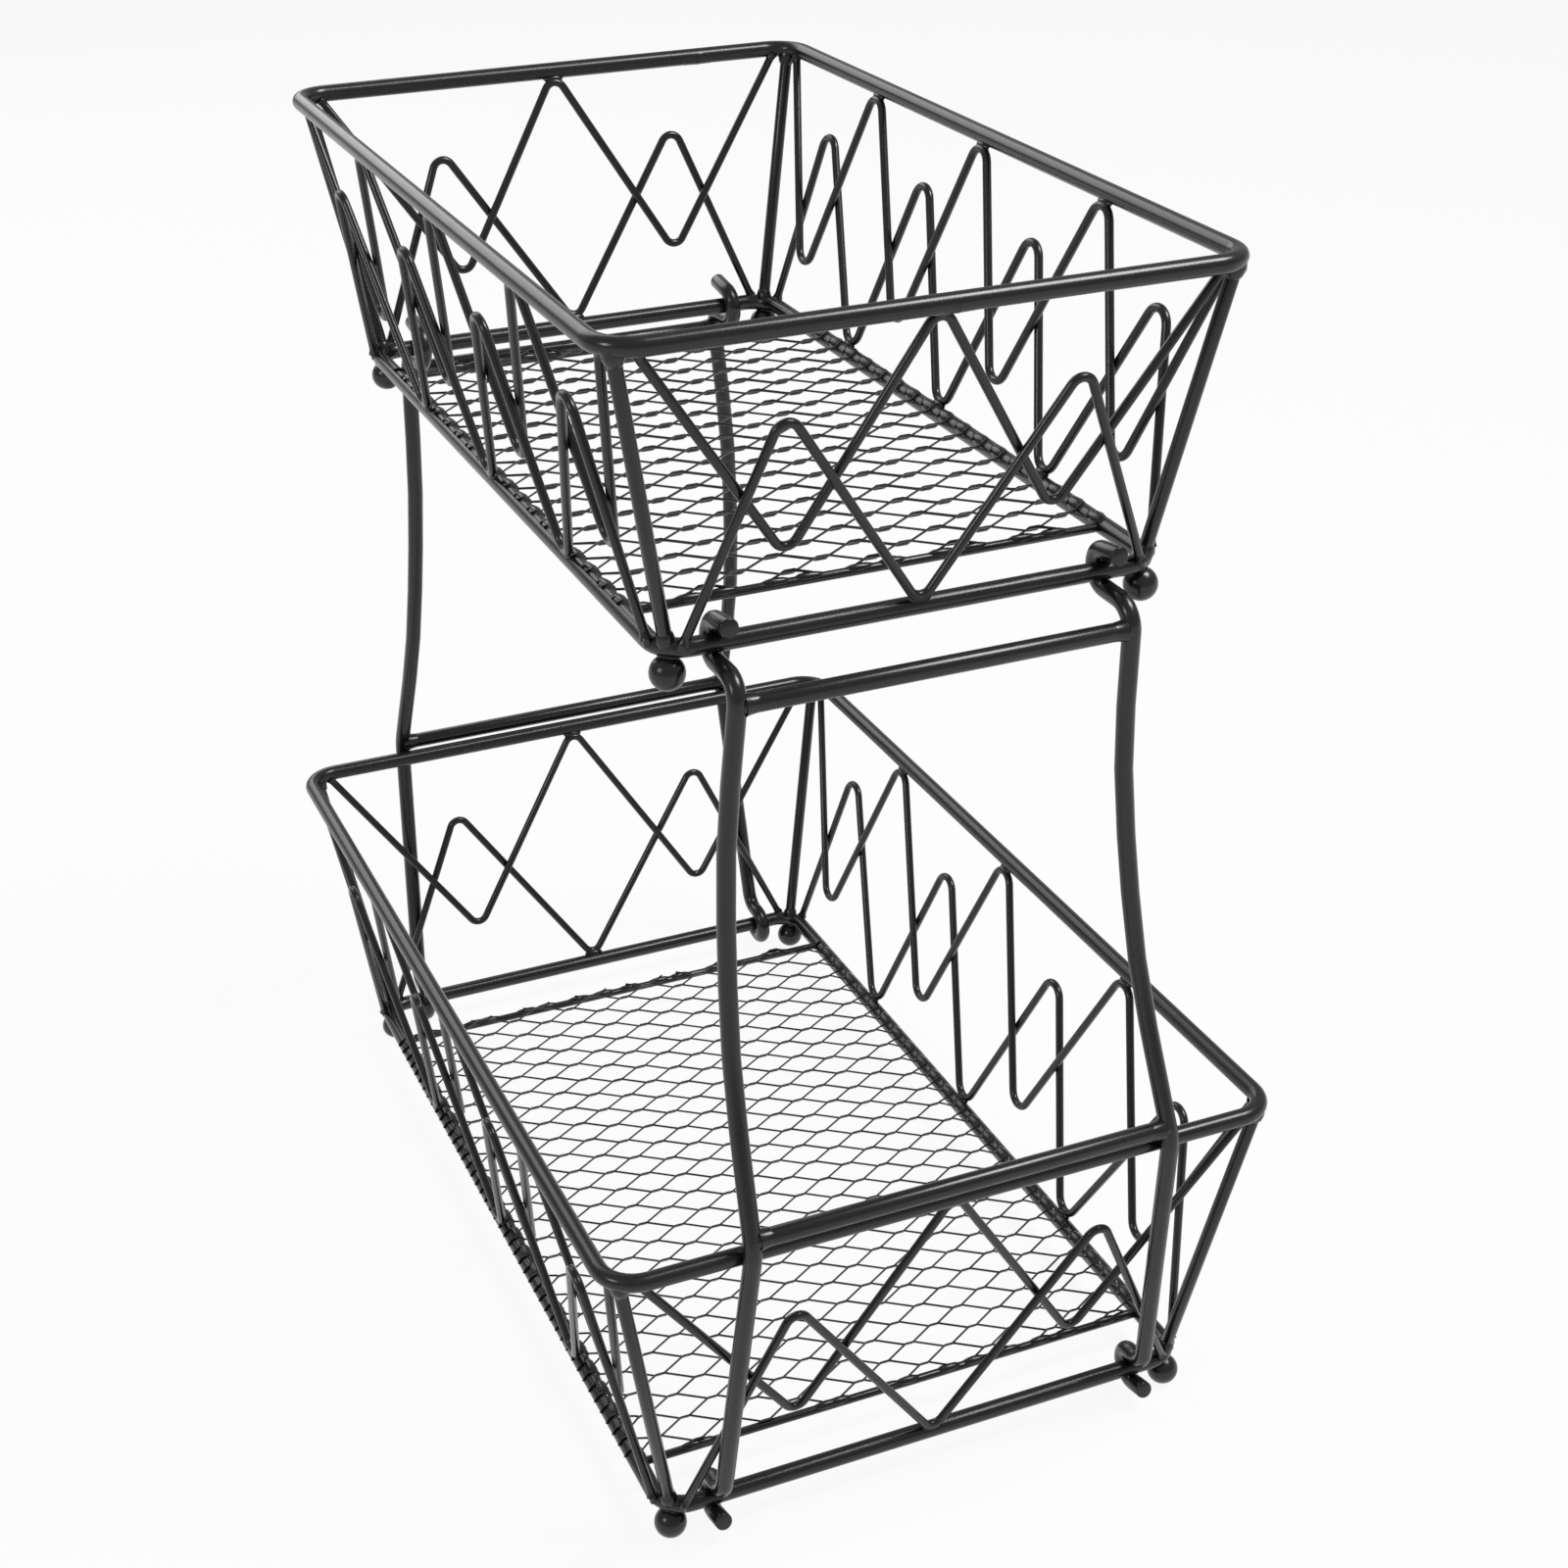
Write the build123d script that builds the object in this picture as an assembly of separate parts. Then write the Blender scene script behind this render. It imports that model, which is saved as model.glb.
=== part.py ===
from build123d import *
import os
from math import asin, atan2, ceil, copysign, degrees, hypot, radians, sqrt, tan
from typing import NamedTuple

# A two-tier basket of welded wire. Lengths are millimetres, +Z is up, X runs across the
# baskets and Y along them, and the origin is on the table under the middle. The near end
# is at -Y. Widths and lengths of rings are taken over the wire centres.

# Wire gauges
frame_wire = 6.0
post_wire = 4.5
lattice_wire = 3.0
cross_wire = 3.0

# Lower basket
lower_rim_width = 236.0
lower_rim_length = 376.0
lower_base_width = 195.5
lower_base_length = 342.0
lower_height = 110.0
lower_near_inset = 25.0
lower_far_inset = 30.0

# Upper basket
upper_rim_width = 200.0
upper_rim_length = 335.0
upper_base_width = 163.0
upper_base_length = 305.0
upper_height = 96.0
upper_near_inset = 31.5
upper_far_inset = 32.5

# Height of the upper base ring over the lower one
tier_rise = 301.5

# Bends, to the wire centre
rim_bend = 12.0
base_bend = 10.0
short_lattice_bend = 4.0
long_lattice_bend = 6.0

# Wires repeat so often that each has flat sides, with its edges on the round wire's
# surface, and each bend is cut into even chords that turn by a bend step at most
frame_sides = 12
thin_sides = 8
bend_step = 36.0

# Fit-up between wires that are welded where they touch, and play where wires only pass
weld_gap = 0.05
play = 0.3

# Zig-zag wires. The hung ones start at the rim, the standing ones at the base ring, and
# both turn at shares of the wall's half width. The dip and crest heights are shares of
# the wall, measured up its slope.
hung_end_inset = 8.0
standing_end_inset = 5.5
short_hung_dip_share = 0.28
short_standing_crest_share = 0.705
long_hung_dip_share = 0.24
long_standing_crest_share = 0.73
short_hung_shares = (-0.5, 0.0, 0.5)
short_standing_shares = (-0.49, 0.0, 0.49)
long_hung_shares = (-0.78, -0.5, -0.25, 0.0, 0.25, 0.5, 0.78)
long_standing_shares = (-0.75, -0.5, -0.25, 0.0, 0.25, 0.5, 0.75)

# Floor of expanded sheet, opened into diamonds
sheet_thickness = 1.0
strand_width = 1.4
sheet_border = 1.4
diamond_length = 37.0
diamond_width = 18.5

# Ball feet under the corners of both base rings
ball_diameter = 11.4
ball_seat_depth = 0.7
ball_flat_depth = 0.3
ball_sides = 12
ball_levels = 5

# Legs of the end frames. Hook insets are from the long base wires, reaches are outward
# from the upper base wire, and drops are below it.
lower_hook_inset = 17.75
upper_hook_inset = 17.5
shoulder_reach = 17.0
waist_reach = 10.1
waist_drop = 63.5
knee_reach = 19.0
knee_drop = 129.5
kink_rise = 5.0
shoulder_bend = 7.5
waist_bend = 180.0
knee_bend = 180.0
kink_bend = 15.0
ankle_bend = 7.0
upper_stub = 10.0
lower_stub = 7.6
upper_stub_angle = 8.0
lower_stub_angle = 15.0

# Cross bars of the end frames, below the upper base wire and above the lower rim
hook_bar_drop = 13.6
near_rim_bar_rise = 8.8
far_rim_bar_rise = 4.6

# Height of the lower base wire over the table
base_height = frame_wire / 2 + ball_diameter - ball_seat_depth - ball_flat_depth

# Centre of a zig-zag wire to either side of the wall's own plane
lattice_offset = (lattice_wire + weld_gap) / 2

# Centre of a leg outside the lower wall, past both the rim and the standing zig-zag
leg_offset = max(frame_wire / 2, lattice_offset + lattice_wire / 2) + play + frame_wire / 2

# Centre of a hook round the wire that it holds
hook_radius = frame_wire + play

# Distance between the two legs of an end frame, at the lower hooks and at the upper ones
lower_hook_spread = lower_base_width - 2 * lower_hook_inset
upper_hook_spread = upper_base_width - 2 * upper_hook_inset

WALLS = {"near": 0, "right": 90, "far": 180, "left": 270}
ENDS = {"near": -1, "far": 1}
SIDES = {"left": -1, "right": 1}


class Tier(NamedTuple):
    """One basket, with the height of its base ring over the table."""

    name: str
    rim_width: float
    rim_length: float
    base_width: float
    base_length: float
    height: float
    near_inset: float
    far_inset: float
    base_z: float


class Lattice(NamedTuple):
    """Turns of both zig-zag wires of a wall."""

    hung_shares: tuple
    standing_shares: tuple
    hung_dip_share: float
    standing_crest_share: float
    bend: float


class Wall(NamedTuple):
    """One side of a basket, laid out in a plane through its rim and base wires."""

    plane: Plane
    slope_length: float
    rim_half: float
    base_half: float
    lattice: Lattice


lower = Tier(
    "lower",
    lower_rim_width,
    lower_rim_length,
    lower_base_width,
    lower_base_length,
    lower_height,
    lower_near_inset,
    lower_far_inset,
    base_height,
)
upper = Tier(
    "upper",
    upper_rim_width,
    upper_rim_length,
    upper_base_width,
    upper_base_length,
    upper_height,
    upper_near_inset,
    upper_far_inset,
    base_height + tier_rise,
)
short_lattice = Lattice(
    short_hung_shares,
    short_standing_shares,
    short_hung_dip_share,
    short_standing_crest_share,
    short_lattice_bend,
)
long_lattice = Lattice(
    long_hung_shares,
    long_standing_shares,
    long_hung_dip_share,
    long_standing_crest_share,
    long_lattice_bend,
)


def heading(direction):
    """Angle of a direction in its own plane, in degrees."""
    return degrees(atan2(direction.Y, direction.X))


def arc_points(centre, radius, start_angle, end_angle):
    """Points that cut an arc into even chords, between two directions from its centre."""
    count = ceil(abs(end_angle - start_angle) / bend_step)
    angles = [start_angle + (end_angle - start_angle) * i / count for i in range(count + 1)]
    return [centre + Vector(radius, 0).rotate(Axis.Z, angle) for angle in angles]


def corner_bend(before, here, after, radius):
    """Points round a bend at a corner, tangent to the runs on both sides."""
    arriving = (here - before).normalized()
    leaving = (after - here).normalized()
    turn = (heading(leaving) - heading(arriving) + 180) % 360 - 180
    inward = copysign(90, turn)
    reach = radius * tan(radians(abs(turn)) / 2)
    centre = here - arriving * reach + arriving.rotate(Axis.Z, inward) * radius
    start = heading(arriving) - inward
    return arc_points(centre, radius, start, start + turn)


def bend_wire(plane, points, gauge, sides, closed=False):
    """Wire through points in a plane, with edges to both sides of the plane."""
    placed = [plane.from_local_coords(point) for point in points]
    path = Wire(Polyline(*placed, close=closed).edges())
    start = Plane(origin=placed[0], x_dir=plane.z_dir, z_dir=placed[1] - placed[0])
    section = start * RegularPolygon(gauge / 2, sides)
    return sweep(section, path=path, transition=Transition.RIGHT)


def straight_wire(start, end, gauge, sides):
    """Wire between two points."""
    run = Vector(end) - Vector(start)
    section = Plane(origin=start, z_dir=run) * RegularPolygon(gauge / 2, sides)
    return extrude(section, amount=run.length)


def ring(width, length, bend, height):
    """Closed ring of frame wire with four bent corners, from the middle of a long side."""
    turns = [(1, 1), (-1, 1), (-1, -1), (1, -1)]
    corners = [Vector(x * width / 2, y * length / 2) for x, y in turns]
    points = [Vector(width / 2, 0)]
    for i, here in enumerate(corners):
        points += corner_bend(corners[i - 1], here, corners[(i + 1) % 4], bend)
    return bend_wire(Plane.XY.offset(height), points, frame_wire, frame_sides, closed=True)


def ring_corner(width, length, bend, height, side, end):
    """Middle of a ring's corner bend, on the wire centre."""
    cut_in = bend * (1 - sqrt(1 / 2))
    return Vector(side * (width / 2 - cut_in), end * (length / 2 - cut_in), height)


def wall_of(tier, turn):
    """Lay out the wall that faces -Y when turned by a multiple of a right angle."""
    is_short = turn % 180 == 0
    rim_half = (tier.rim_width if is_short else tier.rim_length) / 2
    base_half = (tier.base_width if is_short else tier.base_length) / 2
    rim_reach = (tier.rim_length if is_short else tier.rim_width) / 2
    base_reach = (tier.base_length if is_short else tier.base_width) / 2
    foot = Vector(0, -base_reach, tier.base_z)
    up_slope = Vector(0, base_reach - rim_reach, tier.height)
    plane = Plane(origin=foot, x_dir=Vector(1, 0, 0), z_dir=Vector(1, 0, 0).cross(up_slope))
    return Wall(
        Plane(Rot(0, 0, turn) * plane.location),
        up_slope.length,
        rim_half,
        base_half,
        short_lattice if is_short else long_lattice,
    )


def tangent_run(start, start_radius, end, end_radius):
    """Straight run between two bends. A positive radius passes over its bend's centre."""
    across = end - start
    tilt = degrees(asin((end_radius - start_radius) / across.length))
    over = across.normalized().rotate(Axis.Z, tilt + 90)
    return start + over * start_radius, end + over * end_radius


def zigzag_points(bends):
    """Points of tangent runs and arcs through bends, each a centre and a signed radius."""
    runs = [tangent_run(*bends[i], *bends[i + 1]) for i in range(len(bends) - 1)]
    points = [runs[0][0]]
    for (centre, radius), before, after in zip(bends[1:-1], runs, runs[1:]):
        extreme = copysign(90, radius)
        arriving = heading(before[1] - centre)
        leaving = heading(after[0] - centre)
        points += arc_points(centre, abs(radius), arriving, extreme)
        points += arc_points(centre, abs(radius), extreme, leaving)[1:]
    points.append(runs[-1][1])
    return points


def half_width(wall, climb):
    """Half width of a wall at a height up its slope."""
    return wall.base_half + (wall.rim_half - wall.base_half) * climb / wall.slope_length


def zigzag(wall, shares, turns_over, heights, ends, offset):
    """Zig-zag wire in a plane beside the wall, from end to end through its turns."""
    bends = [(Vector(-ends[0], ends[1]), 0)]
    for share, over, climb in zip(shares, turns_over, heights):
        radius = wall.lattice.bend if over else -wall.lattice.bend
        bends.append((Vector(share * half_width(wall, climb), climb - radius), radius))
    bends.append((Vector(*ends), 0))
    plane = wall.plane.offset(offset)
    return bend_wire(plane, zigzag_points(bends), lattice_wire, thin_sides)


def seat_drop():
    """Rise of a turn that touches a ring, from the ring's centre, up the wall's slope."""
    reach = frame_wire / 2 + lattice_wire / 2 + weld_gap
    return sqrt(reach**2 - lattice_offset**2)


def hung_zigzag(wall, rim):
    """Inner zig-zag: its ends and crests are welded under the rim."""
    crest = wall.slope_length - seat_drop()
    dip = wall.lattice.hung_dip_share * wall.slope_length
    over = [i % 2 == 1 for i in range(len(wall.lattice.hung_shares))]
    heights = [crest if is_over else dip for is_over in over]
    ends = (wall.rim_half - hung_end_inset, wall.slope_length - lattice_wire / 2)
    wire = zigzag(wall, wall.lattice.hung_shares, over, heights, ends, -lattice_offset)
    return wire - rim


def standing_zigzag(wall, base_ring):
    """Outer zig-zag: its ends and dips are welded on the base ring."""
    crest = wall.lattice.standing_crest_share * wall.slope_length
    dip = seat_drop()
    over = [i % 2 == 0 for i in range(len(wall.lattice.standing_shares))]
    heights = [crest if is_over else dip for is_over in over]
    ends = (wall.base_half - standing_end_inset, lattice_wire / 2)
    wire = zigzag(wall, wall.lattice.standing_shares, over, heights, ends, lattice_offset)
    return wire - base_ring


def post(tier, side, end, rings):
    """Straight wire up a corner, coped against both rings."""
    rim_z = tier.base_z + tier.height
    top = ring_corner(tier.rim_width, tier.rim_length, rim_bend, rim_z, side, end)
    foot = ring_corner(
        tier.base_width, tier.base_length, base_bend, tier.base_z, side, end
    )
    return straight_wire(foot, top, post_wire, thin_sides) - rings


def foot_ball(tier, side, end, base_ring):
    """Ball under a corner, saddled on the ring and flattened where it stands."""
    seat = ring_corner(
        tier.base_width, tier.base_length, base_bend, tier.base_z, side, end
    )
    radius = ball_diameter / 2
    centre = seat - Vector(0, 0, frame_wire / 2 + radius - ball_seat_depth)
    flat_tilt = degrees(asin(1 - ball_flat_depth / radius))
    tilts = [flat_tilt * (2 * i / ball_levels - 1) for i in range(ball_levels + 1)]
    turns = [360 * i / ball_sides for i in range(ball_sides)]
    ball = ConvexPolyhedron(
        [
            centre + Vector(radius, 0, 0).rotate(Axis.Y, tilt).rotate(Axis.Z, turn)
            for tilt in tilts
            for turn in turns
        ]
    )
    return ball - base_ring


def floor_wire(tier, y, base_ring):
    """Thin wire across the base ring that carries one end of the floor."""
    half = tier.base_width / 2
    ends = (-half, y, tier.base_z), (half, y, tier.base_z)
    return straight_wire(*ends, cross_wire, thin_sides) - base_ring


def floor_sheet(tier, near_y, far_y):
    """Expanded sheet that lies on the cross wires, between the long base wires."""
    underside = cross_wire / 2 + weld_gap
    ring_chord = sqrt((frame_wire / 2 + weld_gap) ** 2 - underside**2)
    width = tier.base_width - 2 * ring_chord
    length = far_y - near_y + cross_wire
    window_width = width - 2 * sheet_border
    window_length = length - 2 * sheet_border
    columns = round(window_width / diamond_length)
    rows = round(window_length / diamond_width)
    pitch_x = window_width / columns
    pitch_y = window_length / rows
    strand_share = strand_width * hypot(pitch_x, pitch_y) / (pitch_x * pitch_y)
    half_x = pitch_x / 2 * (1 - strand_share)
    half_y = pitch_y / 2 * (1 - strand_share)
    diamond = Polygon((half_x, 0), (0, half_y), (-half_x, 0), (0, -half_y))
    centres = [*GridLocations(pitch_x, pitch_y, columns, rows)]
    centres += GridLocations(pitch_x, pitch_y, columns + 1, rows + 1)
    gaps = Sketch() + [centre * diamond for centre in centres]
    window = Rectangle(window_width, window_length)
    sheet = Rectangle(width, length) - (window & gaps)
    middle = (near_y + far_y) / 2
    return Pos(0, middle, tier.base_z + underside) * extrude(sheet, amount=sheet_thickness)


def leg_corners():
    """Points that a leg's centre bends at, as reach from the middle and height."""
    base_reach = lower_base_length / 2
    flare = (lower_rim_length - lower_base_length) / 2 / lower_height
    outward = leg_offset * sqrt(1 + flare**2)
    kink_height = lower_height + kink_rise
    upper_reach = upper_base_length / 2
    return [
        (upper_reach + shoulder_reach, tier_rise - hook_radius),
        (upper_reach + waist_reach, tier_rise - waist_drop),
        (upper_reach + knee_reach, tier_rise - knee_drop),
        (base_reach + flare * kink_height + outward, kink_height),
        (base_reach + flare * hook_radius + outward, hook_radius),
    ]


def leg_half_spread(height):
    """Distance of a leg from the middle plane at a height over the lower base wire."""
    return (lower_hook_spread + (upper_hook_spread - lower_hook_spread) * height / tier_rise) / 2


def leg_stretch():
    """Length of a leaning leg for each unit of its height."""
    return hypot(tier_rise, (lower_hook_spread - upper_hook_spread) / 2) / tier_rise


def leg_points():
    """Centre of a leg in its own plane: X is the reach, Y runs up the leaning leg."""
    stretch = leg_stretch()
    upper_centre = Vector(upper_base_length / 2, tier_rise * stretch)
    lower_centre = Vector(lower_base_length / 2, 0)
    upper_hook = arc_points(upper_centre, hook_radius, 90 + upper_stub_angle, 270)
    lower_hook = arc_points(lower_centre, hook_radius, 90, 270 + lower_stub_angle)
    shoulder, *bends, ankle = leg_corners()
    corners = [
        upper_hook[-1],
        Vector(shoulder[0], upper_hook[-1].Y),
        *[Vector(reach, height * stretch) for reach, height in bends],
        Vector(ankle[0], lower_hook[0].Y),
        lower_hook[0],
    ]
    radii = [shoulder_bend, waist_bend, knee_bend, kink_bend, ankle_bend]
    points = [upper_hook[0] + Vector(upper_stub, 0).rotate(Axis.Z, upper_stub_angle)]
    points += upper_hook
    for before, here, after, radius in zip(corners, corners[1:], corners[2:], radii):
        points += corner_bend(before, here, after, radius)
    points += lower_hook
    points.append(lower_hook[-1] + Vector(lower_stub, 0).rotate(Axis.Z, lower_stub_angle))
    return points


def leg_reach(height):
    """Reach of a leg's centre at a height over the lower base wire."""
    climb = height * leg_stretch()
    points = leg_points()
    for over, under in zip(points, points[1:]):
        if under.Y <= climb <= over.Y:
            share = (climb - under.Y) / (over.Y - under.Y)
            return under.X + share * (over.X - under.X)
    raise ValueError("height is outside the leg")


def leg(side, end):
    """One leg of an end frame, hooked round both base rings."""
    lean = (upper_hook_spread - lower_hook_spread) / 2
    outward = Vector(0, end, 0)
    up_leg = Vector(side * lean, 0, tier_rise)
    origin = Vector(side * lower_hook_spread / 2, 0, base_height)
    plane = Plane(origin=origin, x_dir=outward, z_dir=outward.cross(up_leg))
    return bend_wire(plane, leg_points(), frame_wire, frame_sides)


def bar(height, end, legs):
    """Cross bar of an end frame, coped against both legs."""
    half = leg_half_spread(height)
    y = end * leg_reach(height)
    z = base_height + height
    return straight_wire((-half, y, z), (half, y, z), frame_wire, frame_sides) - legs


def tier_parts(tier):
    """All pieces of one basket, by node name."""
    rim_z = tier.base_z + tier.height
    rim = ring(tier.rim_width, tier.rim_length, rim_bend, rim_z)
    base_ring = ring(tier.base_width, tier.base_length, base_bend, tier.base_z)
    near_y = tier.near_inset - tier.base_length / 2
    far_y = tier.base_length / 2 - tier.far_inset
    parts = {"rim": rim, "base_ring": base_ring}
    for wall_name, turn in WALLS.items():
        wall = wall_of(tier, turn)
        parts[f"hung_zigzag_{wall_name}"] = hung_zigzag(wall, rim)
        parts[f"standing_zigzag_{wall_name}"] = standing_zigzag(wall, base_ring)
    for end_name, end in ENDS.items():
        for side_name, side in SIDES.items():
            place = f"{end_name}_{side_name}"
            parts[f"post_{place}"] = post(tier, side, end, [rim, base_ring])
            parts[f"foot_{place}"] = foot_ball(tier, side, end, base_ring)
    parts["floor_wire_near"] = floor_wire(tier, near_y, base_ring)
    parts["floor_wire_far"] = floor_wire(tier, far_y, base_ring)
    parts["floor_sheet"] = floor_sheet(tier, near_y, far_y)
    return {f"{tier.name}_{name}": part for name, part in parts.items()}


def end_frame_parts(end_name, end, rim_bar_rise):
    """Both legs and both bars of one end frame, by node name."""
    legs = {side_name: leg(side, end) for side_name, side in SIDES.items()}
    parts = {f"{end_name}_leg_{side_name}": part for side_name, part in legs.items()}
    both = list(legs.values())
    parts[f"{end_name}_hook_bar"] = bar(tier_rise - hook_bar_drop, end, both)
    parts[f"{end_name}_rim_bar"] = bar(lower_height + rim_bar_rise, end, both)
    return parts


def main():
    """Build every piece and write each to its own file."""
    os.makedirs("parts", exist_ok=True)
    parts = tier_parts(lower) | tier_parts(upper)
    for (end_name, end), rise in zip(ENDS.items(), (near_rim_bar_rise, far_rim_bar_rise)):
        parts |= end_frame_parts(end_name, end, rise)
    for name, part in parts.items():
        export_step(part, f"parts/{name}.step")
    print(f"{len(parts)} pieces written")


main()
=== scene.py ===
"""Dresses the two-tier wire basket: bent and welded wire, expanded-metal floors, studio."""

import logging
from dataclasses import dataclass
from enum import Enum
from itertools import cycle
from math import asin, atan2, ceil, copysign, cos, degrees, floor, hypot, radians, sin, sqrt, tan
from typing import Any, Iterable, Union

import bmesh
import bpy
from mathutils import Matrix, Vector, noise

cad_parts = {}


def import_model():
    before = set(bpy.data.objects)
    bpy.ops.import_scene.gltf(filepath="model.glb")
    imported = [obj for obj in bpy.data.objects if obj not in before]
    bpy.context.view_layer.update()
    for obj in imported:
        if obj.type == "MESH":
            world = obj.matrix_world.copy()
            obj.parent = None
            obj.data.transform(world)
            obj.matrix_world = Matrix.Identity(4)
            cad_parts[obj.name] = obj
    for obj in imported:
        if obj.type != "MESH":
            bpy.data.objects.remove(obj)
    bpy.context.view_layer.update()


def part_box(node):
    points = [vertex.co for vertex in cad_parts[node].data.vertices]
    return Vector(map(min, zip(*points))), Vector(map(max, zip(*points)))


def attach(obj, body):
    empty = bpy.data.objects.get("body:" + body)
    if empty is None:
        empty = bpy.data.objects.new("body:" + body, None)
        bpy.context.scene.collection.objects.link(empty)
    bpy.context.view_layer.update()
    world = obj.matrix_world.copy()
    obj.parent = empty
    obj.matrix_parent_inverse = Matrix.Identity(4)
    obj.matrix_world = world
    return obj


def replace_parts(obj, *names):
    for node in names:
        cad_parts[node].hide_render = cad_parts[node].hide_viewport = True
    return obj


log = logging.getLogger("basket")

MM = 0.001
BODY = "root"
SHARP_ANGLE = 48.0

Loop = list[bmesh.types.BMEdge]
Colour = tuple[float, float, float, float]


class Place(Enum):
    """A place on the object, which its nodes' names give in small letters."""

    @property
    def word(self) -> str:
        """The place in a node's name."""
        return self.name.lower()


class End(Place):
    """The two short ends of the baskets, each with its direction along Y."""

    NEAR = -1
    FAR = 1


class Side(Place):
    """The two long sides of the baskets, each with its direction along X."""

    LEFT = -1
    RIGHT = 1


class WallPlace(Place):
    """The four walls of a basket, each with its turn from the near one in degrees."""

    NEAR = 0
    RIGHT = 90
    FAR = 180
    LEFT = 270


class Tier(Place):
    """The two baskets, from the ground up."""

    LOWER = 0
    UPPER = 1


@dataclass(frozen=True)
class Gauges:
    """Diameters of the wires and the gaps between them, in metres."""

    frame: float = 6.0 * MM
    post: float = 4.5 * MM
    lattice: float = 3.0 * MM
    cross: float = 3.0 * MM
    strand_width: float = 1.1 * MM
    strand_thickness: float = 0.76 * MM
    weld_gap: float = 0.05 * MM
    play: float = 0.3 * MM

    @property
    def lattice_offset(self) -> float:
        """Distance of a zig-zag wire's centre from the wall's own plane."""
        return (self.lattice + self.weld_gap) / 2

    @property
    def seat_drop(self) -> float:
        """Distance up the wall from a ring's centre to a zig-zag turn that touches it."""
        reach = (self.frame + self.lattice) / 2 + self.weld_gap
        return sqrt(reach**2 - self.lattice_offset**2)

    @property
    def hook_radius(self) -> float:
        """Radius of a hook, at its wire's centre, round the frame wire that it holds."""
        return self.frame + self.play

    @property
    def leg_offset(self) -> float:
        """Distance of a leg's centre from the lower basket's wall."""
        wall_face = max(self.frame / 2, self.lattice_offset + self.lattice / 2)
        return wall_face + self.play + self.frame / 2


GAUGES = Gauges()


@dataclass(frozen=True)
class Sides:
    """How many faces go round each kind of wire."""

    frame: int = 28
    post: int = 18
    thin: int = 16
    flare: int = 20
    strand: int = 8


SIDES = Sides()


@dataclass(frozen=True)
class BeadSize:
    """Length and width of one kind of weld bead."""

    length: float
    width: float


@dataclass(frozen=True)
class PostWeld:
    """Weld at one end of a post: how far in its flare and its bead lie, and the bead."""

    flare_in: float
    bead_in: float
    bead: BeadSize


class Shade:
    """A number on its way through a shader. Python arithmetic on it adds Math nodes."""

    def __init__(self, graph: "Graph", socket: bpy.types.NodeSocket) -> None:
        """Wrap one output socket.

        Args:
            graph: The node graph that the socket belongs to.
            socket: The output socket that carries the number.
        """
        self.graph = graph
        self.socket = socket

    def _math(self, operation: str, first: Any, second: Any) -> "Shade":
        """Add a Math node.

        Args:
            operation: The node's operation.
            first: Its first input, a number or another Shade.
            second: Its second input, a number or another Shade.

        Returns:
            The node's result.
        """
        node = self.graph.node(
            "ShaderNodeMath", {"operation": operation}, {0: first, 1: second}
        )
        return Shade(self.graph, node.outputs[0])

    def __add__(self, other: Any) -> "Shade":
        """Sum of the two."""
        return self._math("ADD", self, other)

    def __radd__(self, other: Any) -> "Shade":
        """Sum of the two."""
        return self._math("ADD", other, self)

    def __mul__(self, other: Any) -> "Shade":
        """Product of the two."""
        return self._math("MULTIPLY", self, other)

    def __rmul__(self, other: Any) -> "Shade":
        """Product of the two."""
        return self._math("MULTIPLY", other, self)

    def or_else(self, other: "Shade") -> "Shade":
        """Larger of the two."""
        return self._math("MAXIMUM", self, other)

    def above(self, level: float, softness: float) -> "Shade":
        """Soft step up from 0 to 1.

        Args:
            level: Where the step is half way.
            softness: Width of the step.

        Returns:
            The mask.
        """
        node = self.graph.node(
            "ShaderNodeMapRange",
            {"interpolation_type": "SMOOTHSTEP"},
            {"Value": self, "From Min": level - softness / 2, "From Max": level + softness / 2},
        )
        return Shade(self.graph, node.outputs["Result"])


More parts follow.
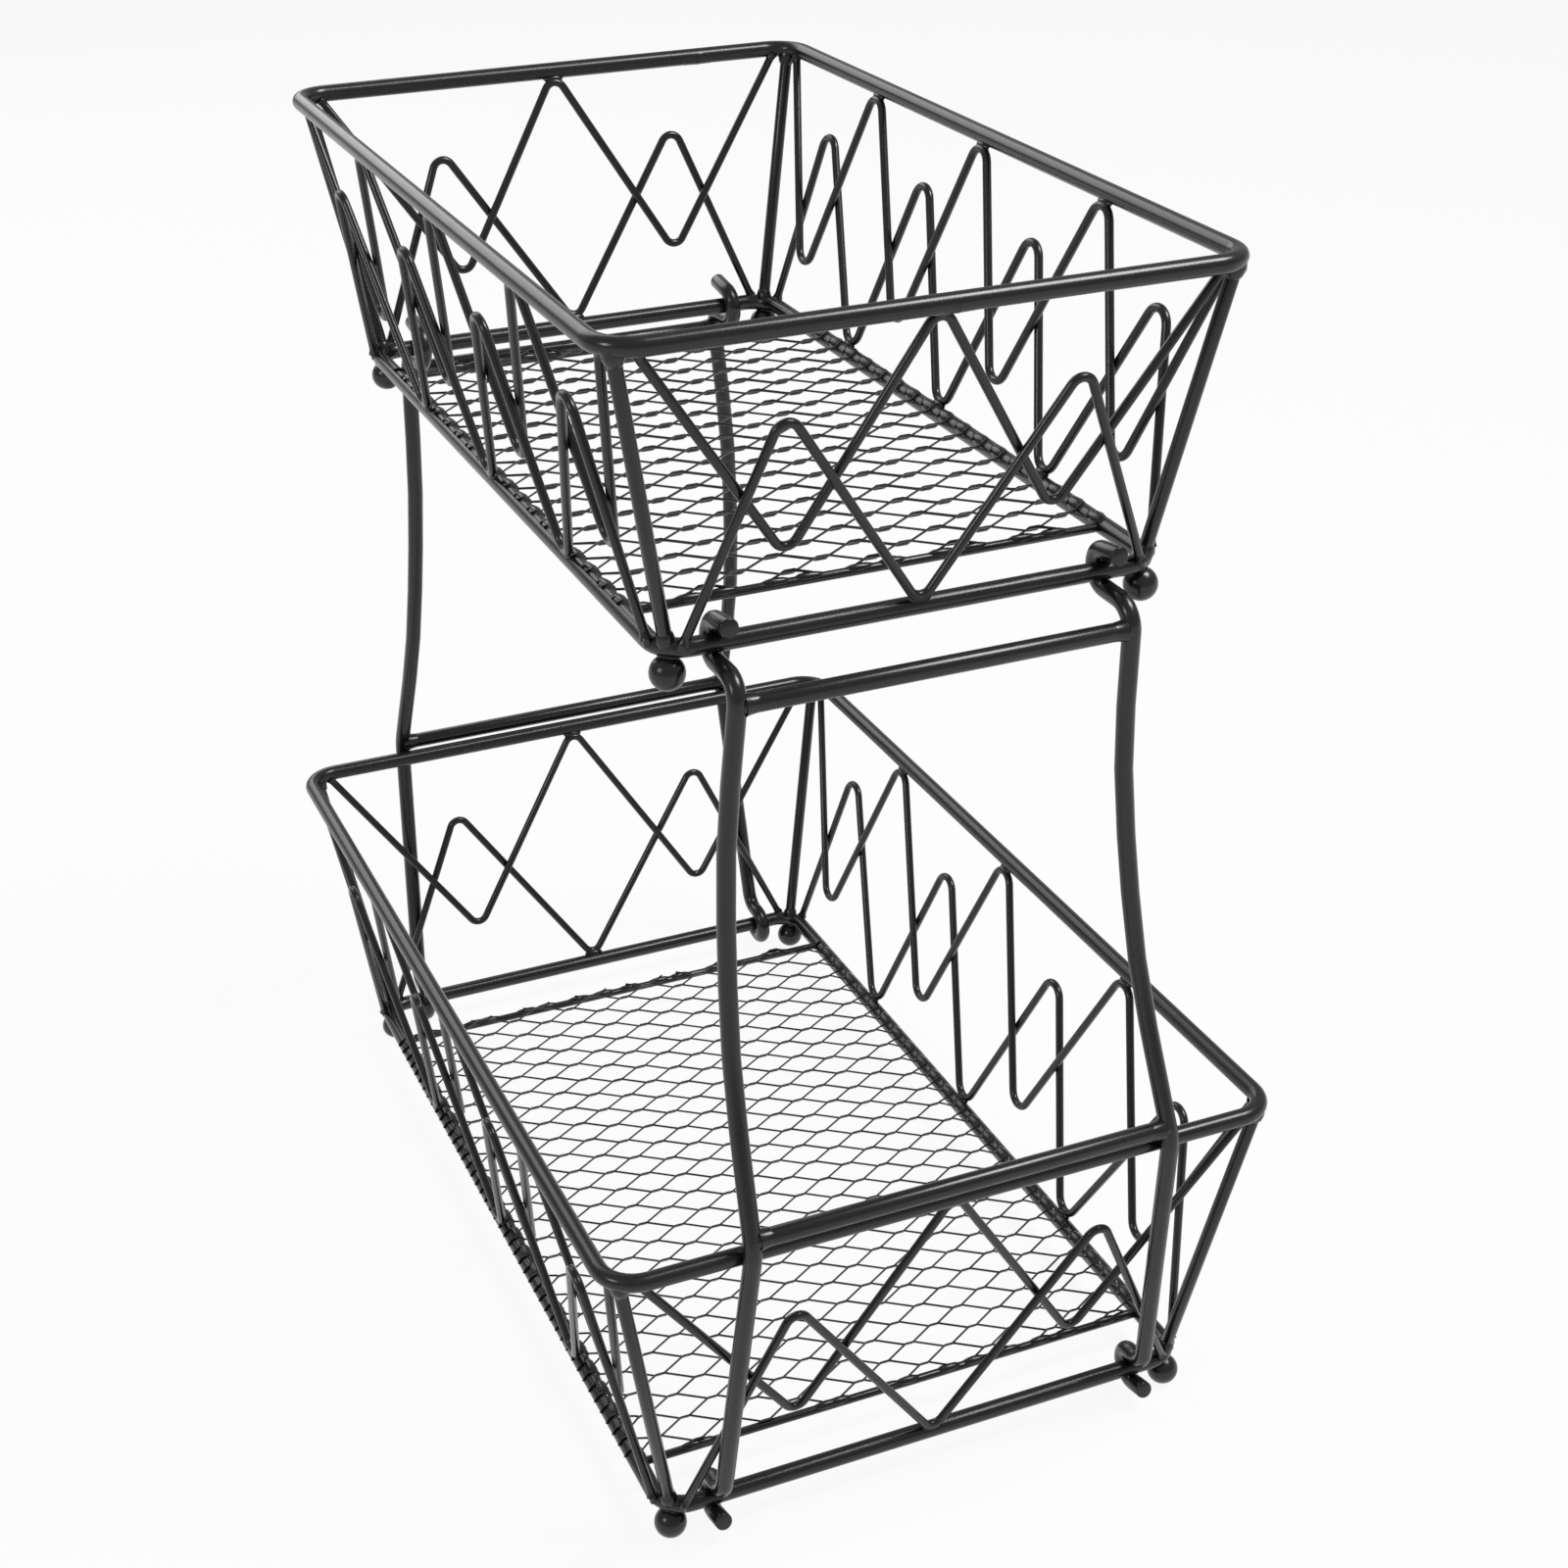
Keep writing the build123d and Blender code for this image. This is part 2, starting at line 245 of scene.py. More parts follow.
class Graph:
    """The node graph of one material or world."""

    def __init__(self, owner: Union[bpy.types.Material, bpy.types.World], output: str) -> None:
        """Empty the owner's graph, down to its output.

        Args:
            owner: The material or world.
            output: Type of its output node.
        """
        owner.use_nodes = True
        self.tree = owner.node_tree
        self.tree.nodes.clear()
        self.output = self.node(output)

    def show(self, shader: bpy.types.Node) -> None:
        """Lead a shader to the output.

        Args:
            shader: The node whose first output is the shader.
        """
        self.tree.links.new(shader.outputs[0], self.output.inputs["Surface"])

    def seen(self, in_gloss: float = 1.0) -> Shade:
        """Mask of the rays that see the background: straight, in gloss or through glass.

        Args:
            in_gloss: How fully gloss shows it.

        Returns:
            The mask.
        """
        rays = self.node("ShaderNodeLightPath").outputs
        straight = Shade(self, rays["Is Camera Ray"])
        glossy = Shade(self, rays["Is Glossy Ray"]) * in_gloss
        return straight.or_else(glossy).or_else(Shade(self, rays["Is Transmission Ray"]))

    def node(
        self,
        kind: str,
        settings: Union[dict[str, Any], None] = None,
        sockets: Union[dict[Any, Any], None] = None,
    ) -> bpy.types.Node:
        """Add a node of any kind.

        Args:
            kind: The node's type.
            settings: Properties that are set first.
            sockets: Values or links of its inputs, by name or place.

        Returns:
            The new node.
        """
        made = self.tree.nodes.new(kind)
        for name, value in (settings or {}).items():
            setattr(made, name, value)
        for name, value in (sockets or {}).items():
            if isinstance(value, Shade):
                value = value.socket
            if isinstance(value, bpy.types.NodeSocket):
                self.tree.links.new(value, made.inputs[name])
            else:
                made.inputs[name].default_value = value
        return made

    def object_point(self) -> bpy.types.NodeSocket:
        """Place on the piece, in metres."""
        return self.node("ShaderNodeTexCoord").outputs["Object"]

    def noise(self, per_metre: float, detail: float) -> Shade:
        """Cloudy noise from 0 to 1.

        Args:
            per_metre: How many clouds lie along a metre.
            detail: How much finer noise is laid over it.

        Returns:
            The noise.
        """
        sockets = {"Vector": self.object_point(), "Scale": per_metre, "Detail": detail}
        made = self.node("ShaderNodeTexNoise", None, sockets)
        return Shade(self, made.outputs["Fac"])

    def blend(self, mask: Shade, low: Colour, high: Colour) -> bpy.types.NodeSocket:
        """Colour between two others.

        Args:
            mask: 0 for the low colour and 1 for the high one.
            low: The colour at 0.
            high: The colour at 1.

        Returns:
            The colour's socket.
        """
        made = self.node("ShaderNodeMix", {"data_type": "RGBA"}, {0: mask, 6: low, 7: high})
        return made.outputs[2]


@dataclass(frozen=True)
class Coating:
    """Black paint over steel: glossy, with a fine orange peel."""

    name: str
    dark: float = 0.006
    pale: float = 0.014
    blue_cast: float = 1.04
    smooth: float = 0.2
    rough: float = 0.29
    cloud_per_metre: float = 70.0
    cloud_detail: float = 3.0
    cloud_share: float = 0.7
    speck_per_metre: float = 900.0
    speck_level: float = 0.66
    speck_softness: float = 0.08
    speck_roughness: float = 0.06
    peel_per_metre: float = 1100.0
    peel_share: float = 0.5
    dip_per_metre: float = 230.0
    fine_detail: float = 2.0
    dip_detail: float = 1.0
    bump_strength: float = 0.7
    bump_height: float = 0.003 * MM

    def material(self) -> bpy.types.Material:
        """Build the coating.

        Returns:
            The finished material.
        """
        material = bpy.data.materials.new(self.name)
        graph = Graph(material, "ShaderNodeOutputMaterial")
        cloud = graph.noise(self.cloud_per_metre, self.cloud_detail)
        grain = graph.noise(self.speck_per_metre, self.fine_detail)
        speck = grain.above(self.speck_level, self.speck_softness)
        peel = graph.noise(self.peel_per_metre, self.fine_detail)
        dip = graph.noise(self.dip_per_metre, self.dip_detail)
        tone = cloud * self.cloud_share + speck * (1 - self.cloud_share)
        low = (self.dark, self.dark, self.dark * self.blue_cast, 1)
        high = (self.pale, self.pale, self.pale, 1)
        spread = cloud * (self.rough - self.smooth)
        sockets = {
            "Strength": self.bump_strength,
            "Distance": self.bump_height,
            "Height": peel * self.peel_share + dip,
        }
        bump = graph.node("ShaderNodeBump", None, sockets)
        sockets = {
            "Base Color": graph.blend(tone, low, high),
            "Roughness": spread + self.smooth + speck * self.speck_roughness,
            "Normal": bump.outputs["Normal"],
        }
        graph.show(graph.node("ShaderNodeBsdfPrincipled", None, sockets))
        return material


@dataclass(frozen=True)
class Layout:
    """A plane that a wire is laid out in, with its X, its Y and its own normal."""

    origin: Vector
    x_dir: Vector
    y_dir: Vector

    @property
    def normal(self) -> Vector:
        """Direction out of the plane."""
        return self.x_dir.cross(self.y_dir).normalized()

    def place(self, point: Vector) -> Vector:
        """Point in space of a point of the plane."""
        return self.origin + self.x_dir * point[0] + self.y_dir * point[1]

    def aim(self, direction: Vector) -> Vector:
        """Direction in space of a direction in the plane."""
        return self.x_dir * direction[0] + self.y_dir * direction[1]

    def beside(self, distance: float) -> "Layout":
        """The same layout, moved along its normal."""
        return Layout(self.origin + self.normal * distance, self.x_dir, self.y_dir)


@dataclass(frozen=True)
class Run:
    """Straight stretch of wire to a point of the layout."""

    end: Vector


@dataclass(frozen=True)
class Bend:
    """Bend of a wire round a centre, positive to the left."""

    centre: Vector
    turn: float


Move = Union[Run, Bend]
Bent = tuple[Vector, list[Move]]


@dataclass(frozen=True)
class Spot:
    """Point on a strand's centre, with the strand's width there as a share."""

    point: Vector
    width: float


def polar(radius: float, angle: float) -> Vector:
    """Offset in a layout, from a radius and an angle in degrees."""
    return Vector((radius * cos(radians(angle)), radius * sin(radians(angle))))


def heading(direction: Vector) -> float:
    """Angle of a direction in its layout, in degrees."""
    return degrees(atan2(direction[1], direction[0]))


def short_way(turn: float) -> float:
    """The same turn, between -180 and 180 degrees."""
    return (turn + 180) % 360 - 180


def corner_moves(before: Vector, here: Vector, after: Vector, radius: float) -> list[Move]:
    """Run up to a corner and bend round it.

    Args:
        before: Corner that the wire comes from.
        here: Corner that it bends at.
        after: Corner that it goes on to.
        radius: Radius of the bend, at the wire's centre.

    Returns:
        The run and the bend.
    """
    arriving = (here - before).normalized()
    leaving = (after - here).normalized()
    turn = short_way(heading(leaving) - heading(arriving))
    reach = radius * tan(radians(abs(turn)) / 2)
    start = here - arriving * reach
    centre = start + polar(radius, heading(arriving) + copysign(90, turn))
    return [Run(start), Bend(centre, turn)]


def tangent_run(
    start: Vector, start_radius: float, end: Vector, end_radius: float
) -> tuple[Vector, Vector]:
    """Straight run between two bends.

    Args:
        start: Centre of the bend that the run leaves.
        start_radius: Its radius, positive where the wire passes over the centre.
        end: Centre of the bend that the run enters.
        end_radius: Its radius, with the same sign rule.

    Returns:
        Both ends of the run.
    """
    across = end - start
    tilt = degrees(asin((end_radius - start_radius) / across.length))
    over = polar(1.0, heading(across) + tilt + 90)
    return start + over * start_radius, end + over * end_radius


def belt_moves(turns: list[tuple[Vector, float]]) -> Bent:
    """Wire that runs from bend to bend.

    Args:
        turns: Centres and signed radii of the bends; both ends have a radius of 0.

    Returns:
        The wire's start and its moves.
    """
    runs = [tangent_run(*turns[i], *turns[i + 1]) for i in range(len(turns) - 1)]
    moves: list[Move] = [Run(runs[0][1])]
    for (centre, radius), arriving, leaving in zip(turns[1:-1], runs, runs[1:]):
        turn = heading(leaving[0] - centre) - heading(arriving[1] - centre)
        moves += [Bend(centre, short_way(turn)), Run(leaving[1])]
    return runs[0][0], moves


def of_kind(made: Iterable[Any], kind: type) -> list[Any]:
    """Those of an operator's results that are of one kind, such as its edges."""
    return [item for item in made if isinstance(item, kind)]


def corners_of(loop: Loop) -> list[bmesh.types.BMVert]:
    """Corners of a loop of edges."""
    return list({vert for edge in loop for vert in edge.verts})


def turn_to(direction: Vector) -> Matrix:
    """Turn that brings the Z axis round to a direction."""
    return direction.to_track_quat("Z", "Y").to_matrix().to_4x4()


def put_in_scene(name: str, data: bpy.types.ID) -> bpy.types.Object:
    """Make a new object of the scene.

    Args:
        name: Its name.
        data: The mesh, lamp or camera that it holds.

    Returns:
        The object.
    """
    made = bpy.data.objects.new(name, data)
    bpy.context.scene.collection.objects.link(made)
    return made


def node_box(node: str) -> tuple[Vector, Vector]:
    """Low and high corner of a node's box in the frame."""
    low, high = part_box(node)
    return Vector(low), Vector(high)


def finish_piece(
    mesh: bmesh.types.BMesh, name: str, material: bpy.types.Material
) -> bpy.types.Object:
    """Put a mesh into the scene as a piece of the object.

    Args:
        mesh: The mesh, in the shared frame.
        name: The piece's name.
        material: Its finish.

    Returns:
        The piece.
    """
    bmesh.ops.recalc_face_normals(mesh, faces=mesh.faces)
    data = bpy.data.meshes.new(name)
    mesh.to_mesh(data)
    mesh.free()
    data.shade_smooth()
    piece = put_in_scene(name, data)
    data.materials.append(material)
    data.set_sharp_from_angle(angle=radians(SHARP_ANGLE))
    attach(piece, BODY)
    log.info("piece %s", name)
    return piece


def trim(mesh: bmesh.types.BMesh, point: Vector, outward: Vector) -> None:
    """Cut a mesh off along a plane and close it there.

    Args:
        mesh: The mesh.
        point: A point of the plane.
        outward: Direction of what is cut off.
    """
    cut = bmesh.ops.bisect_plane(
        mesh,
        geom=mesh.verts[:] + mesh.edges[:] + mesh.faces[:],
        plane_co=point,
        plane_no=outward,
        clear_outer=True,
    )["geom_cut"]
    bmesh.ops.holes_fill(mesh, edges=of_kind(cut, bmesh.types.BMEdge), sides=0)


class WireBender:
    """Feeds and bends round wire, as a bending machine does."""

    degrees_per_step = 12.0
    cut_share = 0.13
    cut_steps = 2
    merge_gap = 0.01 * MM

    def __init__(
        self, diameter: float, sides: int, mesh: Union[bmesh.types.BMesh, None] = None
    ) -> None:
        """Take wire of one gauge.

        Args:
            diameter: The wire's diameter.
            sides: How many faces go round it.
            mesh: Mesh that it goes into, or None for a new one.
        """
        self.radius = diameter / 2
        self.sides = sides
        self.mesh = bmesh.new() if mesh is None else mesh

    def section(self, start: Vector, direction: Vector) -> Loop:
        """Start a wire with its first circle.

        Args:
            start: The wire's first point.
            direction: Where it goes from there.

        Returns:
            The circle's edges.
        """
        made = bmesh.ops.create_circle(
            self.mesh,
            cap_ends=False,
            radius=self.radius,
            segments=self.sides,
            matrix=Matrix.Translation(start) @ turn_to(direction),
        )
        return list({edge for vert in made["verts"] for edge in vert.link_edges})

    def feed(self, loop: Loop, step: Vector) -> Loop:
        """Push the wire's end straight on.

        Args:
            loop: Edges of the circle at the end.
            step: How far it goes.

        Returns:
            Edges of the new circle.
        """
        grown = bmesh.ops.extrude_edge_only(self.mesh, edges=loop)["geom"]
        verts = of_kind(grown, bmesh.types.BMVert)
        bmesh.ops.translate(self.mesh, vec=step, verts=verts)
        edges = of_kind(grown, bmesh.types.BMEdge)
        return [edge for edge in edges if set(verts).issuperset(edge.verts)]

    def swing(self, loop: Loop, centre: Vector, axis: Vector, angle: float) -> Loop:
        """Bend the wire's end round a centre.

        Args:
            loop: Edges of the circle at the end.
            centre: Centre of the bend.
            axis: Axis of the bend.
            angle: Angle of the bend, in degrees.

        Returns:
            Edges of the new circle.
        """
        spun = bmesh.ops.spin(
            self.mesh,
            geom=loop,
            cent=centre,
            axis=axis,
            dvec=(0, 0, 0),
            angle=radians(angle),
            steps=max(ceil(abs(angle) / self.degrees_per_step), 1),
            use_merge=False,
            use_normal_flip=False,
            use_duplicate=False,
        )
        return of_kind(spun["geom_last"], bmesh.types.BMEdge)

    def cut(self, loop: Loop) -> None:
        """Close a cut end and break its edge.

        Args:
            loop: Edges of the circle at the end.
        """
        bmesh.ops.holes_fill(self.mesh, edges=loop, sides=0)
        bmesh.ops.bevel(
            self.mesh,
            geom=loop,
            offset=self.radius * self.cut_share,
            offset_type="OFFSET",
            segments=self.cut_steps,
            profile=0.5,
            affect="EDGES",
            material=-1,
        )

    def stretch(self, loop: Loop, centre: Vector, direction: Vector, size: float) -> None:
        """Scale a section along one direction.

        Args:
            loop: Edges of the section.
            centre: Its centre.
            direction: The direction.
            size: How much larger it gets.
        """
        space = turn_to(direction).inverted() @ Matrix.Translation(-centre)
        bmesh.ops.scale(self.mesh, vec=(1, 1, size), space=space, verts=corners_of(loop))

    def draw(self, route: list[Spot], face: Vector, flatness: float) -> None:
        """Pull a flat strand of changing width through points in space.

        Args:
            route: Points of its centre.
            face: Direction that its flat face looks in at the start.
            flatness: Its thickness as a share of its width.
        """
        steps = [after.point - before.point for before, after in zip(route, route[1:])]
        facing = steps[0].normalized()
        opening = self.section(route[0].point, facing)
        loop = opening
        self.stretch(loop, route[0].point, face, flatness)
        face = face.copy()
        for before, here, step, ahead in zip(route, route[1:], steps, [*steps[1:], steps[-1]]):
            loop = self.feed(loop, step)
            wanted = (step.normalized() + ahead.normalized()).normalized()
            turn = facing.rotation_difference(wanted).to_matrix()
            bmesh.ops.rotate(self.mesh, cent=here.point, matrix=turn, verts=corners_of(loop))
            face.rotate(turn)
            facing = wanted
            self.stretch(loop, here.point, face.cross(facing), here.width / before.width)
        bmesh.ops.holes_fill(self.mesh, edges=opening + loop, sides=0)

    def follow(
        self, layout: Layout, start: Vector, moves: Iterable[Move], closed: bool = False
    ) -> None:
        """Bend one wire into the mesh.

        Args:
            layout: The plane that the wire lies in.
            start: Its first point.
            moves: Its runs and bends in order.
            closed: Whether the last point is the first.
        """
        moves = list(moves)
        here = start
        opening = self.section(layout.place(start), layout.aim(moves[0].end - start))
        loop = opening
        for move in moves:
            if isinstance(move, Run):
                step = layout.aim(move.end - here)
                if step.length > GAUGES.weld_gap:
                    loop = self.feed(loop, step)
                    here = move.end
            else:
                loop = self.swing(loop, layout.place(move.centre), layout.normal, move.turn)
                spoke = here - move.centre
                here = move.centre + polar(spoke.length, heading(spoke) + move.turn)
        if not closed:
            self.cut(opening)
            self.cut(loop)

    def straight(self, start: Vector, end: Vector) -> None:
        """Lay one straight wire.

        Args:
            start: Its first point in space.
            end: Its last point in space.
        """
        run = end - start
        side = run.orthogonal().normalized()
        layout = Layout(start, run.normalized(), side)
        self.follow(layout, Vector((0, 0)), [Run(Vector((run.length, 0)))])

    def finish(self, name: str, material: bpy.types.Material, node: str) -> None:
        """Turn the wire into a piece that stands for a node of the frame.

        Args:
            name: The piece's name.
            material: Its finish.
            node: The node that it replaces.
        """
        bmesh.ops.remove_doubles(self.mesh, verts=self.mesh.verts, dist=self.merge_gap)
        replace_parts(finish_piece(self.mesh, name, material), node)


class Welder:
    """Lays welds: beads beside a touching wire, and flares round a wire's end."""

    flare_levels = 5
    flare_length_share = 1.8
    flare_end_share = 0.99
    lumps_per_metre = 450.0
    lump_share = 0.09
    bead_fineness = 2

    def __init__(self) -> None:
        """Start with no weld."""
        self.mesh = bmesh.new()
        self.count = 0

    def flare(self, root: Vector, axis: Vector, radius: float, spread: float = 0.4) -> None:
        """Lay a fillet that widens a wire towards what it is welded to.

        Args:
            root: Middle of its wide end.
            axis: Direction along the wire, away from the weld.
            radius: The wire's radius.
            spread: How much wider the wide end is, as a share of the radius.
        """
        way = axis.normalized() * self.flare_length_share * radius
        width = 1 + spread
        bender = WireBender(2 * radius * width, SIDES.flare, self.mesh)
        loop = bender.section(root, way)
        for level in range(1, self.flare_levels + 1):
            share = level / self.flare_levels
            loop = bender.feed(loop, way / self.flare_levels)
            narrower = self.flare_end_share + spread * (1 - share) ** 2
            size = narrower / width
            space = Matrix.Translation(-(root + way * share))
            bmesh.ops.scale(self.mesh, vec=(size,) * 3, space=space, verts=corners_of(loop))
            width = narrower
        self.count += 1

    def bead(self, point: Vector, along: Vector, size: BeadSize) -> None:
        """Lay one bead.

        Args:
            point: Its middle.
            along: The direction that it is drawn out in.
            size: Its length and width.
        """
        stretched = Matrix.Diagonal((size.width / 2, size.width / 2, size.length / 2, 1))
        made = bmesh.ops.create_icosphere(
            self.mesh,
            subdivisions=self.bead_fineness,
            radius=1.0,
            matrix=Matrix.Translation(point) @ turn_to(along) @ stretched,
        )
        for vert in made["verts"]:
            lump = noise.noise(vert.co * self.lumps_per_metre) * self.lump_share
            vert.co += (vert.co - point) * lump
        self.count += 1


@dataclass(frozen=True)
class Lattice:
    """Places where the zig-zag wires of one kind of wall turn, as shares of the wall."""

    hung: tuple[float, ...]
    standing: tuple[float, ...]
    dip: float
    crest: float
    bend: float
    hung_inset: float = 8.0 * MM
    standing_inset: float = 5.5 * MM


SHORT_LATTICE = Lattice(
    hung=(-0.5, 0.0, 0.5),
    standing=(-0.49, 0.0, 0.49),
    dip=0.28,
    crest=0.705,
    bend=4.0 * MM,
)
LONG_LATTICE = Lattice(
    hung=(-0.78, -0.5, -0.25, 0.0, 0.25, 0.5, 0.78),
    standing=(-0.75, -0.5, -0.25, 0.0, 0.25, 0.5, 0.75),
    dip=0.24,
    crest=0.73,
    bend=6.0 * MM,
)


@dataclass(frozen=True)
class Diamonds:
    """Pattern of one floor's expanded metal, with its angles in degrees."""

    pitch_x: float
    pitch_y: float
    bond_x: float
    bond_y: float
    bond: float
    slant: float
    left_tip: float
    swell: float
    right_tip: float = 98.0
    tilt: float = 48.0
    taper_share: float = 0.17


LOWER_DIAMONDS = Diamonds(
    pitch_x=25.1 * MM,
    pitch_y=12.15 * MM,
    bond_x=-13.0 * MM,
    bond_y=-68.7 * MM,
    bond=3.2 * MM,
    slant=-1.7,
    left_tip=10.0,
    swell=1.3,
)
UPPER_DIAMONDS = Diamonds(
    pitch_x=28.0 * MM,
    pitch_y=13.37 * MM,
    bond_x=-26.8 * MM,
    bond_y=-118.4 * MM,
    bond=3.4 * MM,
    slant=0.0,
    left_tip=60.0,
    swell=1.65,
)


@dataclass(frozen=True)
class Ring:
    """Rounded rectangle of frame wire, sized over its wire centres."""

    width: float
    length: float
    height: float
    bend: float

    @classmethod
    def of_node(cls, node: str, bend: float) -> "Ring":
        """Ring with the size and height of a node.

        Args:
            node: The node.
            bend: Radius of the corners, at the wire's centre.

        Returns:
            The ring.
        """
        low, high = node_box(node)
        width, length = (high[i] - low[i] - GAUGES.frame for i in (0, 1))
        return cls(width, length, (low[2] + high[2]) / 2, bend)

    def corner(self, end: End, side: Side) -> Vector:
        """Middle of a corner bend, on the wire centre.

        Args:
            end: Which end the corner is at.
            side: Which side it is on.

        Returns:
            The point.
        """
        cut_in = self.bend * (1 - sqrt(1 / 2))
        x, y = self.width / 2 - cut_in, self.length / 2 - cut_in
        return Vector((side.value * x, end.value * y, self.height))

    def lay(self, bender: WireBender) -> None:
        """Bend the ring.

        Args:
            bender: Takes its wire.
        """
        x, y = self.width / 2, self.length / 2
        corners = [Vector(corner) for corner in ((x, y), (-x, y), (-x, -y), (x, -y))]
        moves: list[Move] = []
        for i, here in enumerate(corners):
            after = corners[(i + 1) % len(corners)]
            moves += corner_moves(corners[i - 1], here, after, self.bend)
        start = Vector((x, 0))
        layout = Layout(Vector((0, 0, self.height)), Vector((1, 0, 0)), Vector((0, 1, 0)))
        bender.follow(layout, start, [*moves, Run(start)], closed=True)


@dataclass
class Wall:
    """One side of a basket, laid out in the plane through its rim and base wires."""

    layout: Layout
    slope: float
    rim_half: float
    base_half: float
    lattice: Lattice

    def half_width(self, climb: float) -> float:
        """Half width of the wall at a height up its slope."""
        return self.base_half + (self.rim_half - self.base_half) * climb / self.slope

    def hung(self) -> Bent:
        """Inner wire, whose ends and crests are welded under the rim.

        Returns:
            The wire's start and its moves.
        """
        end = Vector((self.rim_half - self.lattice.hung_inset, self.slope))
        heights = (self.lattice.dip * self.slope, self.slope - GAUGES.seat_drop)
        return self._zigzag(self.lattice.hung, heights, -self.lattice.bend, end)

    def standing(self) -> Bent:
        """Outer wire, whose ends and dips are welded on the base ring.

        Returns:
            The wire's start and its moves.
        """
        end = Vector((self.base_half - self.lattice.standing_inset, 0))
        heights = (self.lattice.crest * self.slope, GAUGES.seat_drop)
        return self._zigzag(self.lattice.standing, heights, self.lattice.bend, end)

    def _zigzag(
        self, shares: tuple[float, ...], heights: tuple[float, float], bend: float, end: Vector
    ) -> Bent:
        """Wire through turns that lie over and under their centres by turns.

        Args:
            shares: Places of the turns across the wall.
            heights: Heights up the slope of the first turn, the second and so on by turns.
            bend: Radius of the first turn, positive where it is a crest.
            end: The wire's last point; its first mirrors it.

        Returns:
            The wire's start and its moves.
        """
        turns = [(Vector((-end[0], end[1])), 0.0)]
        for share, climb, radius in zip(shares, cycle(heights), cycle((bend, -bend))):
            turns.append((Vector((share * self.half_width(climb), climb - radius)), radius))
        turns.append((end, 0.0))
        return belt_moves(turns)


